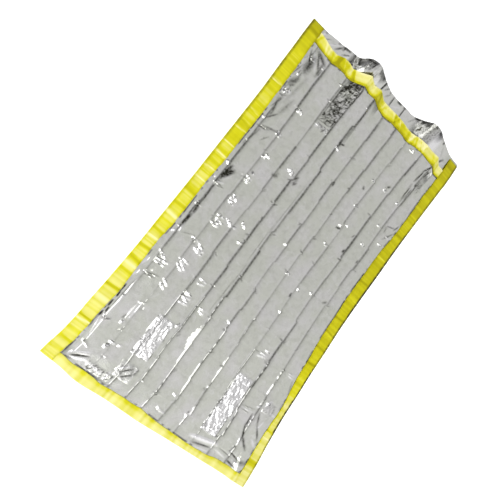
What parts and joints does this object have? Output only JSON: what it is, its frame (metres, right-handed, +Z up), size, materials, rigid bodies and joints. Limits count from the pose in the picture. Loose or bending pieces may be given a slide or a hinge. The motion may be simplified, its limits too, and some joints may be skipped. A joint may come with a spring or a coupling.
{
  "type": "emergency sleeping bag",
  "caption": "Foil emergency sleeping bag lying unfolded, with a grid of packing creases, edged with yellow tape along its sides, foot and mouth, and open at the mouth.",
  "frame": {"origin": "on the floor, under the middle of the bag", "axes": "+X across the bag, +Y along it from the foot to the mouth, +Z up from the floor"},
  "size_m": [1.0588, 1.9433, 0.094],
  "materials": {
    "film_silver": "bright metallised film, creased and crinkled",
    "tape_yellow": "semi-gloss plastic tape"
  },
  "bodies": {
    "root": {"front_panel": "film_silver", "back_panel": "film_silver", "tape_left": "tape_yellow", "tape_right": "tape_yellow", "tape_foot": "tape_yellow", "tape_mouth": "tape_yellow"}
  },
  "joints": []
}
